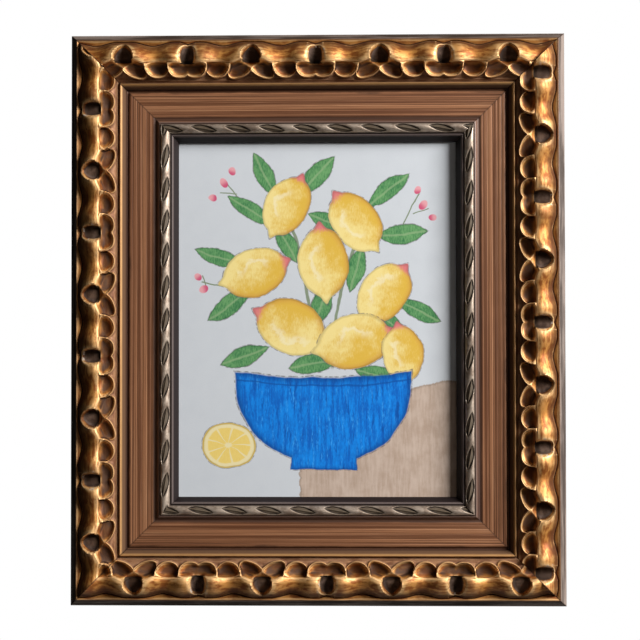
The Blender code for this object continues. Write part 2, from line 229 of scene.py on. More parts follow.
def leaf_height(s, v):
    """Three scooped leaves on each side of the eye, each lapping over the one before."""
    rim_plane = 34.4 - 0.27 * (v - 33.0)
    arris = bone_arris(s)
    arris_height = bone_whole(s, arris)
    wall = (arris_height - 31.0) * smoothstep(4.5, -1.0, v - arris)
    height = GROUND_HEIGHT - 0.55 * (v - 46.0)
    for leaf in LEAVES:
        along, _, _, width, _, _, scoop, fall = leaf
        radius = leaf_radius(s, v, leaf)
        off_rim = (radius - 1) * width
        bowl = rim_plane - fall * (s - along) - scoop * np.maximum(0.0, 1 - radius**3.2) ** 0.9 + wall
        bowl = bowl + 0.6 * np.exp(-((off_rim + 0.35) / 0.4) ** 2)
        height = between(bowl, height, smoothstep(-0.05, 0.9, off_rim))
        height = height - 0.35 * bump(off_rim, 1.25, 0.7) * smoothstep(35.0, 38.0, v)
    below_notch = smoothstep(54.0, 59.5, s) * (1 - smoothstep(39.5, 43.0, v))
    height = between(height, 29.4 - 0.34 * (v - 33.0), below_notch)
    # Behind the eye the leaves start low, so that its bowl runs out between them.
    below_eye = 28.4 + 0.05 * s * s + 0.9 * np.maximum(0.0, v - 31.5)
    height = between(height, np.minimum(height, below_eye), smoothstep(12.0, 5.5, s))
    # No leaf stands over the arris beside it.
    return np.minimum(height, arris_height + 0.2) + 0.45 * np.exp(-((v - 48.3) / 0.4) ** 2)


def leaf_depth(s, v):
    """1 deep in a leaf, on its side away from the eye, and 0 on its rim and off the leaves."""
    depth = np.zeros_like(s)
    for leaf in LEAVES:
        along, _, length, *_ = leaf
        radius = leaf_radius(s, v, leaf)
        inside = 1 - radius + 0.22 * (s - along) / length * (1 - radius**6)
        depth = np.where(radius < 1, inside, depth)
    return depth * smoothstep(0.3, 1.2, v - bone_arris(s))


def rope_leaf(u, v, pitch):
    """How far inside a pointed leaf of the rope a point is, and how far off the leaf's middle line."""
    x = np.clip((v - ROPE_CENTRE) / ROPE_HALF_WIDTH, -1.0, 1.0)
    along = u / pitch % 1.0 - 0.5
    off_line = x + ROPE_LEAF_SLANT * along
    half_width = 0.8 * (1 - (np.abs(along) / ROPE_LEAF_HALF_LENGTH) ** 2.2)
    return half_width - np.abs(off_line), off_line


def rope_height(u, v, pitch):
    """A ribbon wound round a half-round core, with a ribbed leaf sunk between each two turns."""
    x = np.clip((v - ROPE_CENTRE) / ROPE_HALF_WIDTH, -1.0, 1.0)
    inside, off_line = rope_leaf(u, v, pitch)
    leaf = smoothstep(0.0, 0.2, inside)
    height = between(22.2, 20.2, (x + 1) / 2) + 3.7 * np.sqrt(np.maximum(0.0, 1 - x * x))
    height = height - leaf * (1.5 - 0.9 * np.exp(-((off_line / 0.15) ** 2)))
    return height + 0.3 * smoothstep(-0.1, -0.7, inside) * (1 - x * x)


def relief(u, v, pitch, eye, rope_phase):
    """Height of the front of the moulding off the wall, in millimetres."""
    s = from_eye(u, pitch, eye)
    plain = np.interp(v, SECTION[:, 0], SECTION[:, 1])
    for place in REED_PLACES:
        plain = plain - 0.22 * np.exp(-((v - place) / 0.45) ** 2)
    crevice = 0.3 * bump(v, bone_foot(s) - 0.3, 1.0)
    carving = between(bone_height(s, v), leaf_height(s, v), smoothstep(0.1, 0.9, v - bone_arris(s)))
    carving = np.where(v < bone_foot(s), plain, carving) - crevice
    height = np.where((v > CARVING_START) & (v < CARVING_END), carving, plain)
    rope = rope_height((u - rope_phase) / MM, v, pitch * ROPE_PITCH_SHARE / MM)
    return np.where(np.abs(v - ROPE_CENTRE) < ROPE_HALF_WIDTH, np.maximum(rope, plain), height)


def rail_rows(length, pitch, eye):
    """Places along a rail, closest together where the carving turns fastest."""
    u = np.linspace(-length / 2 - MM, length / 2 + MM, 9001)
    s = from_eye(u, pitch, eye)
    density = 1 + 0.9 * bump(s, 3.0, 9.0) + 0.7 * bump(s, 20.5, 5.0) + 0.7 * bump(s, 43.0, 5.0)
    density = density + 1.6 * bump(s, NOTCH_WALL - 1.0, 3.5)
    along = np.concatenate([[0.0], np.cumsum((density[1:] + density[:-1]) / 2)])
    return np.interp(np.linspace(0, along[-1], round(length / ROW_SPACING)), along, u)


def rail_columns(s):
    """Lines along the rail, as (millimetres across, height or None where the relief gives it)."""
    flat = np.zeros_like(s)
    columns = [(flat + v, flat + h) for v, h in ((0.35, 0.0), (0.0, 0.4), (0.0, 3.0), (0.0, 5.7))]
    side = [0.25, 1.5, 3.5, 5.5, 7.2, 7.9, 8.1, 8.3, 8.5, 8.65, 8.85, 9.0, 9.2, 9.35, 9.55, 9.75]
    columns += [(flat + v, None) for v in side]
    foot, arris, rim = bone_foot(s), bone_arris(s), leaf_rim(s)
    columns += [(between(10.0, foot - 1.1, share), None) for share in (0.0, 0.5, 1.0)]
    columns += [(foot + v, None) for v in (-0.7, -0.35, 0.0)]
    shares = [0.02, 0.045, 0.07, *np.linspace(0.1, 0.94, 31)]
    columns += [(between(foot, arris, share), None) for share in shares]
    edge = (-1.05, -0.8, -0.58, -0.38, -0.18, 0.0, 0.15, 0.3, 0.5, 0.7, 0.95, 1.3)
    columns += [(arris + v, None) for v in edge]
    columns += [(between(arris + 1.3, rim - 2.0, share), None) for share in np.linspace(0, 1, 15)[1:]]
    columns += [(rim + v, None) for v in (-1.6, -1.2, -0.9, -0.6, -0.3, 0.0, 0.25, 0.5, 0.75, 1.0)]
    columns += [(between(rim + 1.0, 47.7, share), None) for share in (0.35, 0.7, 1.0)]
    columns += [(flat + v, None) for v in (48.0, 48.25, 48.5, 48.75, 48.95)]
    plain = [v for v in SECTION[:, 0] if 49 < v < 60.5]
    plain += [60.8, 61.8]
    plain += [place + v for place in REED_PLACES for v in (-0.9, -0.4, 0.0, 0.4, 0.9, 2.4)]
    plain += [v for v in SECTION[:, 0] if 84.4 < v < 90.6]
    plain += list(ROPE_CENTRE + ROPE_HALF_WIDTH * np.linspace(-0.99, 0.99, 21))
    plain += [v for v in SECTION[:, 0] if v > 100.3]
    columns += [(flat + v, None) for v in sorted(plain)]
    inner = RAIL_WIDTH - REBATE_WIDTH
    walls = [(RAIL_WIDTH, 12.8), (RAIL_WIDTH, 10.2), (RAIL_WIDTH - 0.2, REBATE_DEPTH)]
    walls += [(inner, REBATE_DEPTH), (inner, 0.3), (inner - 0.3, 0.0), (60.0, 0.0), (0.35, 0.0)]
    return columns + [(flat + v, flat + h) for v, h in walls]


def rail_mesh(name, length, opposite, pitch, eye, rope_phase):
    rows = rail_rows(length, pitch, eye)
    columns = rail_columns(from_eye(rows, pitch, eye))
    across = np.stack([v for v, _ in columns], axis=1)
    given = np.stack([np.full_like(v, np.nan) if h is None else h for v, h in columns], axis=1)
    along = np.repeat(rows[:, None], len(columns), axis=1)
    heights = np.where(np.isnan(given), relief(along, across, pitch, eye, rope_phase), given)

    mesh = bpy.data.meshes.new(name)
    bm = bmesh.new()
    bmesh.ops.create_grid(bm, x_segments=len(rows) - 1, y_segments=len(columns) - 1, size=0.5)
    bm.to_mesh(mesh)
    places = np.empty(len(mesh.vertices) * 3)
    mesh.vertices.foreach_get("co", places)
    places = places.reshape(-1, 3)
    i = np.rint((places[:, 0] + 0.5) * (len(rows) - 1)).astype(int)
    j = np.rint((places[:, 1] + 0.5) * (len(columns) - 1)).astype(int)
    places = np.stack([along[i, j], -heights[i, j] * MM, across[i, j] * MM - opposite / 2], axis=1)
    mesh.vertices.foreach_set("co", places.ravel())

    # Joined along the back, then sawn at both mitres.
    bm.clear()
    bm.from_mesh(mesh)
    seam = [vert for vert in bm.verts if vert.is_boundary and abs(vert.co.y) < 1e-6]
    bmesh.ops.remove_doubles(bm, verts=seam, dist=1e-6)
    for side in (-1, 1):
        cut = Vector((side * (length / 2 - MITRE_GAP), 0.0, -opposite / 2))
        outward = Vector((side, 0.0, 1.0)).normalized()
        geometry = [*bm.verts, *bm.edges, *bm.faces]
        bmesh.ops.bisect_plane(
            bm, geom=geometry, dist=1e-7, plane_co=cut, plane_no=outward, clear_outer=True
        )
    bmesh.ops.holes_fill(bm, edges=[edge for edge in bm.edges if edge.is_boundary], sides=0)
    bmesh.ops.recalc_face_normals(bm, faces=bm.faces)
    bm.to_mesh(mesh)
    bm.free()
    return mesh


def mark_places(mesh, length, opposite, pitch, eye, rope_phase):
    """Stores each point's place on the moulding and the marks that its finishes follow."""
    places = np.empty(len(mesh.vertices) * 3)
    mesh.vertices.foreach_get("co", places)
    places = places.reshape(-1, 3)
    u, v, height = places[:, 0], (places[:, 2] + opposite / 2) / MM, -places[:, 1] / MM
    attribute = mesh.attributes.new("place", "FLOAT_VECTOR", "POINT")
    attribute.data.foreach_set("vector", np.stack([u, v * MM, height * MM], axis=1).ravel())

    # A point lies in a crease or a hollow where the front around it stands higher.
    here = relief(u, np.clip(v, 0, RAIL_WIDTH), pitch, eye, rope_phase)
    lies_below = {}
    for reach in (0.9, 4.0):
        ring = np.zeros_like(u)
        for turn in range(8):
            angle = math.tau * turn / 8
            ring_u = u + reach * math.cos(angle) * MM
            ring_v = np.clip(v + reach * math.sin(angle), 0.0, RAIL_WIDTH)
            ring += relief(ring_u, ring_v, pitch, eye, rope_phase) / 8
        lies_below[reach] = ring - here
    s = from_eye(u, pitch, eye)
    under_arris = bump(v, bone_arris(s) + 1.0, 1.6) * (lies_below[0.9] > 0)

    # How deep a point lies in the bone. The eye's wall is gilded and only its floor is dark. Behind the eye
    # the mark is raised to lay painted shade there.
    on_bone = (v > bone_foot(s)) & (v < bone_arris(s) + 1.0)
    pit = (bone_whole(s, v) - here) * np.where(s < 14, smoothstep(1.2, 3.8, eye_inside(s, v)), 1.0)
    painted_shade_behind_eye = 5.0 * smoothstep(10.5, 7.5, s) * smoothstep(34.0, 31.0, v) * (v > 28.0)
    marks = {
        "crease": lies_below[0.9] * (1 - 0.85 * under_arris),
        "hollow": lies_below[4.0],
        "pit": np.maximum(np.where(on_bone, pit, 0.0), painted_shade_behind_eye),
        "from_eye": s,
        "from_foot": v - bone_foot(s),
        "from_mitre": (length / 2 - np.abs(u)) / MM - v,
        "off_leaves": v - leaf_rim(s),
        "leaf_depth": leaf_depth(s, v),
        "rope_leaf": rope_leaf((u - rope_phase) / MM, v, pitch * ROPE_PITCH_SHARE / MM)[0],
    }
    for name, values in marks.items():
        attribute = mesh.attributes.new(name, "FLOAT", "POINT")
        attribute.data.foreach_set("value", values)


class Tone:
    """An output in a material's nodes. Arithmetic on it adds Math nodes."""

    def __init__(self, finish, output):
        self.finish, self.output = finish, output

    def __add__(self, other):
        return self.finish.math("ADD", self, other)

    def __sub__(self, other):
        return self.finish.math("SUBTRACT", self, other)

    def __rsub__(self, other):
        return self.finish.math("SUBTRACT", other, self)

    def __mul__(self, other):
        return self.finish.math("MULTIPLY", self, other)

    def __truediv__(self, other):
        return self.finish.math("DIVIDE", self, other)

    def __pow__(self, other):
        return self.finish.math("POWER", self, other)

    def __neg__(self):
        return self.finish.math("MULTIPLY", self, -1.0)

    __radd__ = __add__
    __rmul__ = __mul__


class Finish:
    """A material while its nodes are being laid out."""

    def __init__(self, name, roughness=0.5, **constants):
        self.material = bpy.data.materials.new(name)
        self.material.use_nodes = True
        self.tree = self.material.node_tree
        self.shader = self.tree.nodes["Principled BSDF"]
        self.feed(Roughness=roughness)
        for socket, value in constants.items():
            self.shader.inputs[socket.replace("_", " ")].default_value = value

    def join(self, socket, value):
        if isinstance(value, Tone):
            self.tree.links.new(value.output, socket)
        elif isinstance(value, tuple) and len(value) == 3 and socket.type == "RGBA":
            socket.default_value = (*value, 1.0)
        else:
            socket.default_value = value

    def node(self, kind, settings=None, inputs=None, output=0):
        """Adds a node: its type, its settings, and the values or links of its sockets."""
        node = self.tree.nodes.new("ShaderNode" + kind)
        for name, value in (settings or {}).items():
            setattr(node, name, value)
        for name, value in (inputs or {}).items():
            self.join(node.inputs[name], value)
        return Tone(self, node.outputs[output])

    def math(self, operation, *values):
        return self.node("Math", {"operation": operation}, dict(enumerate(values)))

    def step(self, value, low, high):
        """0 below low and 1 above high, smooth between them."""
        limits = {"Value": value, "From Min": low, "From Max": high}
        return self.node("MapRange", {"interpolation_type": "SMOOTHSTEP"}, limits)

    def most(self, *values):
        """The greatest of several tones."""
        most = values[0]
        for value in values[1:]:
            most = self.math("MAXIMUM", most, value)
        return most

    def mix(self, first, second, share, blend="MIX"):
        settings = {"data_type": "RGBA", "blend_type": blend}
        return self.node("Mix", settings, {0: share, 6: first, 7: second}, output=2)

    def attribute(self, name, output="Fac"):
        return self.node("Attribute", {"attribute_name": name}, output=output)

    def stretch(self, vector, scale):
        return self.node("Mapping", {}, {"Vector": vector, "Scale": scale})

    def noise(self, vector, scale, detail, roughness):
        sockets = {"Vector": vector, "Scale": scale, "Detail": detail, "Roughness": roughness}
        return self.node("TexNoise", {}, sockets)

    def parts(self, vector):
        first = self.node("SeparateXYZ", {}, {0: vector})
        return [Tone(self, output) for output in first.output.node.outputs]

    def bump(self, height, strength, distance):
        return self.node("Bump", {}, {"Height": height, "Strength": strength, "Distance": distance})

    def feed(self, **sockets):
        for name, value in sockets.items():
            self.join(self.shader.inputs[name.replace("_", " ")], value)
        return self.material


def gilded_band():
    """Burnished gold paint, rubbed bright on the high edges with a painted highlight there, with brown and
    black toner below and painted shade in the creases and behind the eyes.
    """
    finish = Finish("antique_gilt", Specular_IOR_Level=0.2, Coat_Roughness=0.45, Coat_IOR=1.5)
    place = finish.attribute("place", "Vector")
    hollow = finish.attribute("hollow")
    crease = finish.attribute("crease")
    s = finish.attribute("from_eye")
    pit = finish.attribute("pit")
    from_foot = finish.attribute("from_foot")
    v = finish.parts(place)[1] * 1000.0
    fine = finish.noise(finish.stretch(place, (260.0, 1300.0, 1300.0)), 1.0, 3.0, 0.6)
    streaks = finish.noise(finish.stretch(place, (40.0, 420.0, 420.0)), 1.0, 4.0, 0.55)
    patches = finish.noise(place, 70.0, 4.0, 0.6)
    speckle = finish.noise(place, 900.0, 2.0, 0.6)
    worn = (patches - 0.5) * 1.2 + (streaks - 0.5) * 0.6

    # Gold, paler on the crowns, partly from rubbing and partly as a painted highlight, with the red bole
    # showing through in places.
    mottle = finish.step(streaks + (patches - 0.5), 0.32, 0.64)
    gold = finish.mix((0.30, 0.090, 0.017), (0.63, 0.280, 0.065), mottle)
    pale_crown_and_highlight = finish.step(-hollow + worn * 0.9, 0.1, 1.8) * finish.step(streaks, 0.22, 0.58)
    gold = finish.mix(gold, (0.88, 0.56, 0.250), pale_crown_and_highlight * 0.85)
    bole = finish.step(finish.noise(place, 34.0, 4.0, 0.65), 0.56, 0.68)
    gold = finish.mix(gold, (0.22, 0.06, 0.015), bole * 0.6)

    # Dark toner lies in the hollows, in the scooped leaves and along the foot of the bone.
    toner = finish.step(hollow * 0.35 + crease * 1.5 + worn, 0.0, 1.2)
    scooped = finish.step(finish.attribute("leaf_depth") + worn * 0.12, 0.10, 0.46)
    scooped = scooped * finish.step(v, 31.5, 36.5)
    under = finish.step(from_foot + worn * 2.5, 9.0, 2.2) * finish.step(v, 9.7, 10.6)
    under = under * (0.25 + finish.step(from_foot, -0.8, 0.2) * 0.75)
    toner = finish.most(toner, scooped * 0.92, under * 0.9)
    color = finish.mix(gold, (0.062, 0.022, 0.009), toner * 0.92)
    dusty = scooped * finish.step(patches, 0.4, 0.6)
    color = finish.mix(color, (0.080, 0.045, 0.033), dusty * 0.75)

    # The edges are rubbed bright and lightened further as a painted highlight, but not behind the eyes.
    rubbed_and_highlit = finish.step(-crease + worn * 0.2, 0.05, 0.24) * (1.0 - finish.step(pit, 0.2, 1.2))
    rubbed_and_highlit = rubbed_and_highlit * (1.0 - finish.step(s, 10.5, 8.0) * finish.step(v, 37.0, 34.5))
    rubbed_and_highlit = rubbed_and_highlit * (1.0 - finish.step(v, 33.0, 36.0) * 0.2)
    color = finish.mix(color, (0.92, 0.59, 0.285), rubbed_and_highlit * 0.75)
    # Near-black in the creases of the bone and the leaves: crease toner, deepened as painted shade.
    crease_toner_and_shade = finish.step(crease + worn * 0.15, 0.08, 0.34)
    color = finish.mix(color, (0.024, 0.008, 0.004), crease_toner_and_shade * finish.step(v, 47.0, 43.0) * 0.7)

    # The floors of the eyes and of the notches are left charcoal. Toward the leaves, and behind each eye,
    # the near-black is painted shade.
    charcoal_and_shade = finish.step(pit + worn * 1.5, 2.2, 4.6)
    ashen = finish.step(patches, 0.4, 0.62)
    charcoal_and_shade_color = finish.mix((0.030, 0.018, 0.013), (0.105, 0.068, 0.052), ashen)
    # Near-black toward the inner side of the eye: painted shade.
    charcoal_and_shade_color = finish.mix(charcoal_and_shade_color, (0.012, 0.007, 0.004), finish.step(v, 27.0, 31.0))
    color = finish.mix(color, charcoal_and_shade_color, charcoal_and_shade * 0.95)

    # The gilding has chipped to its pale ground on some of the knobs beside the notches.
    chip = finish.step(finish.noise(place, 190.0, 3.0, 0.6) + worn * 0.2, 0.56, 0.62)
    chip = chip * finish.step(s, NOTCH_WALL - 6.0, NOTCH_WALL - 2.5) * (1.0 - charcoal_and_shade)
    chip = chip * finish.step(v, 31.0, 27.0) * finish.step(v, 14.0, 17.0)
    color = finish.mix(color, (0.62, 0.56, 0.49), chip * 0.8)

    # The outer slope carries a dull brown-grey wash, and a dark line parts it from the ledge.
    ledge = finish.step(v, 10.4, 9.2) * finish.step(streaks, 0.3, 0.55)
    color = finish.mix(color, (0.20, 0.085, 0.036), ledge * 0.75)
    color = finish.mix(color, (0.10, 0.038, 0.020), finish.step(v, 9.5, 9.0) * 0.8)
    wipe = finish.noise(finish.stretch(place, (9.0, 70.0, 70.0)), 1.0, 5.0, 0.65)
    slope_color = finish.mix((0.050, 0.032, 0.023), (0.25, 0.195, 0.165), finish.step(wipe, 0.40, 0.60))
    slope = finish.step(v, 8.5, 7.9)
    color = finish.mix(color, slope_color, slope)

    # The ground between the leaves and the fillet is matt brown. The fillet is gilt outside and
    # dark within.
    dry_brushed = finish.step(patches * 0.5 + streaks * 0.5, 0.40, 0.58)
    ground_color = finish.mix((0.16, 0.072, 0.038), (0.31, 0.165, 0.092), dry_brushed)
    ground = finish.step(finish.attribute("off_leaves"), 0.1, 0.8) * finish.step(v, 50.6, 49.6)
    color = finish.mix(color, ground_color, ground * 0.85)
    fillet_color = finish.mix((0.11, 0.045, 0.018), (0.36, 0.18, 0.06), finish.step(v, 51.2, 51.9))
    color = finish.mix(color, fillet_color, finish.step(v, 50.6, 51.2) * 0.8)
    inner_color = finish.mix((0.12, 0.062, 0.032), (0.045, 0.019, 0.011), finish.step(v, 55.6, 57.2))
    inner = finish.step(v, 52.6, 54.4)
    color = finish.mix(color, inner_color, inner)
    joint = finish.step(finish.attribute("from_mitre") + worn * 0.3, 0.9, 0.4)
    color = finish.mix(color, (0.026, 0.011, 0.006), joint * 0.8)

    dull = finish.most(crease_toner_and_shade, charcoal_and_shade, slope, inner, joint)
    metal = 0.5 - dull * 0.5 - toner * 0.3
    roughness = 0.57 + toner * 0.1 + dull * 0.15 + (fine - 0.5) * 0.25 + (patches - 0.5) * 0.15
    gloss = (0.2 - dull * 0.2) * (1.0 - toner * 0.85)
    normal = finish.bump(fine * 0.4 + speckle * 0.25 + streaks * 0.5 + patches * 0.8, 0.5, 0.0008)
    return finish.feed(
        Base_Color=color, Metallic=metal, Roughness=roughness, Coat_Weight=gloss, Normal=normal
    )


def combed_panel():
    """Brown stain over a bronze ground, combed along the rail, with black toner at both edges."""
    finish = Finish("combed_bronze")
    place = finish.attribute("place", "Vector")
    v = finish.parts(place)[1] * 1000.0
    comb = finish.noise(finish.stretch(place, (3.0, 900.0, 60.0)), 1.0, 5.0, 0.7)
    bands = finish.noise(finish.stretch(place, (2.0, 210.0, 10.0)), 1.0, 2.0, 0.5)
    cloud = finish.noise(finish.stretch(place, (12.0, 60.0, 20.0)), 1.0, 3.0, 0.5)
    hairs = finish.noise(finish.stretch(place, (14.0, 2600.0, 200.0)), 1.0, 3.0, 0.7)
    thin = finish.step(bands * 0.3 + comb * 0.7, 0.41, 0.59)
    color = finish.mix((0.140, 0.050, 0.020), (0.38, 0.170, 0.080), thin)
    bronze = finish.step(comb * 0.75 + cloud * 0.25, 0.53, 0.66)
    color = finish.mix(color, (0.50, 0.270, 0.145), bronze * 0.75)
    color = finish.mix(color, (0.095, 0.034, 0.018), finish.step(hairs, 0.53, 0.66) * 0.6)
    reed = 0.0
    for line in REED_PLACES:
        reed = reed + finish.step(finish.math("ABSOLUTE", v - line), 0.75, 0.1)
    color = finish.mix(color, (0.100, 0.042, 0.024), reed * finish.step(comb, 0.62, 0.42) * 0.55)
    smear = finish.noise(finish.stretch(place, (22.0, 70.0, 20.0)), 1.0, 4.0, 0.6)
    outer = finish.step(v + (smear - 0.5) * 9.0, 61.2, 58.8)
    cove = finish.step(v + (smear - 0.5) * 3.0, 82.2, 84.6) * finish.step(v, 88.4, 87.2)
    toner = finish.most(outer * 0.6, cove * 0.8)
    joint = finish.step(finish.attribute("from_mitre"), 0.9, 0.4)
    color = finish.mix(color, (0.030, 0.012, 0.008), toner)
    color = finish.mix(color, (0.030, 0.012, 0.008), joint * 0.6)
    color = finish.mix(color, (0.16, 0.10, 0.077), finish.step(v, 87.4, 88.6))
    roughness = 0.42 + (comb - 0.5) * 0.2 + toner * 0.1
    normal = finish.bump(comb * 0.6 + bands * 0.4 - hairs * 0.5, 0.4, 0.0005)
    return finish.feed(Base_Color=color, Metallic=0.2, Roughness=roughness, Normal=normal)


def silvered_rope():
    """Tarnished silver leaf over the rope, black toner left in its cuts, and a dark bead within."""
    finish = Finish("tarnished_silver", Specular_IOR_Level=0.25)
    place = finish.attribute("place", "Vector")
    v = finish.parts(place)[1] * 1000.0
    patches = finish.noise(place, 90.0, 3.0, 0.6)
    fine = finish.noise(finish.stretch(place, (300.0, 1200.0, 1200.0)), 1.0, 3.0, 0.6)
    tarnish = finish.step(patches + (fine - 0.5) * 0.5, 0.35, 0.62)
    color = finish.mix((0.26, 0.195, 0.15), (0.47, 0.385, 0.31), tarnish)
    leaf = finish.step(finish.attribute("rope_leaf") + (fine - 0.5) * 0.15, -0.02, 0.12)
    color = finish.mix(color, (0.085, 0.062, 0.038), leaf * 0.9)
    flank = finish.step(finish.math("ABSOLUTE", v - ROPE_CENTRE), 3.4, 4.8)
    color = finish.mix(color, (0.030, 0.018, 0.013), flank * 0.85)
    cut = finish.step(finish.attribute("crease") + (fine - 0.5) * 0.1, 0.04, 0.22)
    color = finish.mix(color, (0.016, 0.009, 0.007), cut)
    bead = finish.step(v, 99.8, 100.6)
    color = finish.mix(color, (0.105, 0.080, 0.074), bead)
    color = finish.mix(color, (0.012, 0.007, 0.007), finish.step(v, 102.9, 103.6))
    dull = finish.most(leaf, flank, bead)
    roughness = 0.45 + dull * 0.1 + (fine - 0.5) * 0.2
    normal = finish.bump(fine, 0.3, 0.0005)
    return finish.feed(Base_Color=color, Metallic=0.6 - dull * 0.55, Roughness=roughness, Normal=normal)


def bare_wood():
    """The unfinished back: sawn pale softwood, darker in the late wood, a little dusty."""
    finish = Finish("sawn_softwood")
    place = finish.attribute("place", "Vector")
    wander = finish.noise(finish.stretch(place, (6.0, 30.0, 30.0)), 1.0, 2.0, 0.5)
    rings = finish.noise(finish.stretch(place, (3.0, 260.0, 160.0)), 1.0, 3.0, 0.5)
    grain = finish.math("SINE", (rings * 26.0) + wander * 8.0) * 0.5 + 0.5
    fibres = finish.noise(finish.stretch(place, (60.0, 2400.0, 2400.0)), 1.0, 3.0, 0.6)
    color = finish.mix((0.50, 0.33, 0.18), (0.33, 0.19, 0.09), grain)
    color = finish.mix(color, (0.62, 0.45, 0.28), finish.step(fibres, 0.5, 0.75) * 0.5)
    stain = finish.noise(place, 9.0, 4.0, 0.55)
    color = finish.mix(color, (0.22, 0.13, 0.07), finish.step(stain, 0.52, 0.75) * 0.5)
    normal = finish.bump(fibres * 0.6 + grain * 0.4, 0.35, 0.0006)
    return finish.feed(Base_Color=color, Roughness=0.72 + (fibres - 0.5) * 0.2, Normal=normal)


GILT_END, PANEL_END = 57.6, 90.5
BARE_WOOD = 3
moulding_finishes = [gilded_band(), combed_panel(), silvered_rope(), bare_wood()]

for name, (turn, pitch, eye, rope_phase) in RAILS.items():
    upright = name in ("rail_left", "rail_right")
    length = frame_height if upright else frame_width
    opposite = frame_width if upright else frame_height
    mesh = rail_mesh(name + "_carved", length, opposite, pitch, eye, rope_phase)
    mark_places(mesh, length, opposite, pitch, eye, rope_phase)
    for finish in moulding_finishes:
        mesh.materials.append(finish)
    centres = np.empty(len(mesh.polygons) * 3)
    mesh.polygons.foreach_get("center", centres)
    normals = np.empty(len(mesh.polygons) * 3)
    mesh.polygons.foreach_get("normal", normals)
    centres, normals = centres.reshape(-1, 3), normals.reshape(-1, 3)
    v, height = (centres[:, 2] + opposite / 2) / MM, -centres[:, 1] / MM
    finish_of = np.digitize(v, [GILT_END, PANEL_END])
    # The back, the rebate and the sawn mitres are bare wood.
    bare = (height < 0.35) | ((v < RAIL_WIDTH - 0.1) & (height < REBATE_DEPTH + 0.05) & (v > 60))
    bare |= (np.abs(normals[:, 0]) > 0.7) & (np.abs(normals[:, 0] * normals[:, 2]) > 0.499)
    finish_of[bare] = BARE_WOOD
    mesh.polygons.foreach_set("material_index", finish_of.astype(np.int32))
    mesh.shade_smooth()
    mesh.set_sharp_from_angle(angle=math.radians(55))
    mesh.transform(Matrix.Translation(frame_centre) @ Matrix.Rotation(math.radians(turn), 4, "Y"))
    rail = bpy.data.objects.new(name + "_carved", mesh)
    bpy.context.scene.collection.objects.link(rail)
    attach(rail, "root")
    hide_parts(name)


# ---------------------------------------------------------------------------------------------
# The sheet of watercolour paper. A still life in pencil and transparent washes on heavy rough
# paper, which lies in the rebate behind the sight edge with a narrow margin hidden all round.
PAPER = (0.63, 0.67, 0.715)
PENCIL = (0.13, 0.125, 0.13)

# The picture, in millimetres from the middle of the sheet and degrees from level. Each shape is
# its place, its half length and half width, and its turn.
LEMONS = [
    (-30, 112, 31, 22, 62), (38, 96, 33, 23, 128), (-62, 46, 33, 24, 20), (6, 56, 35, 25, 95),
    (66, 26, 32, 24, 50), (-26, -8, 36, 27, 155), (36, -22, 37, 27, 15), (84, -34, 28, 21, 100),
]
LEAVES_OF_TREE = [
    (-66, 108, 27, 9, 150), (-52, 142, 25, 9, 118), (0, 142, 26, 10, 48), (70, 128, 27, 9, 38),
    (12, 96, 22, 9, 160), (84, 84, 26, 10, 5), (-98, 62, 24, 9, 165), (-86, 14, 27, 10, 215),
    (-30, 74, 22, 9, 120), (38, 50, 24, 9, 75), (100, 8, 24, 9, -25), (-72, -36, 26, 10, 200),
    (4, 14, 24, 10, 70), (72, -4, 20, 8, 140), (-4, -44, 25, 10, 190), (62, -56, 26, 10, -14),
]
BUDS = [
    (-92, 134, 5.5, 4, 120), (-84, 146, 4.5, 3.5, 80), (-104, 120, 4.5, 3.5, 160), (104, 112, 5.5, 4, 50),
    (98, 126, 4.5, 3.5, 80), (114, 100, 4.5, 3.5, 10), (-112, 30, 5, 4, 190), (-118, 42, 4.5, 3.5, 130),
]
SPRIGS = [
    (-80, 122, 18, 0.7, 128), (-88, 124, 9, 0.6, 178), (92, 108, 18, 0.7, 62), (102, 106, 9, 0.6, 20),
    (-104, 34, 12, 0.7, 165), (-112, 38, 6, 0.6, 110),
]
STEMS = [(-4, -0.00105, 130), (14, 0.00155, 118)]
BOWL_MIDDLE, BOWL_RIM, BOWL_REACH, BOWL_DEPTH = 6, -50, 88, 92
SLICE_PLACE, SLICE_REACH = (-88, -124), 27


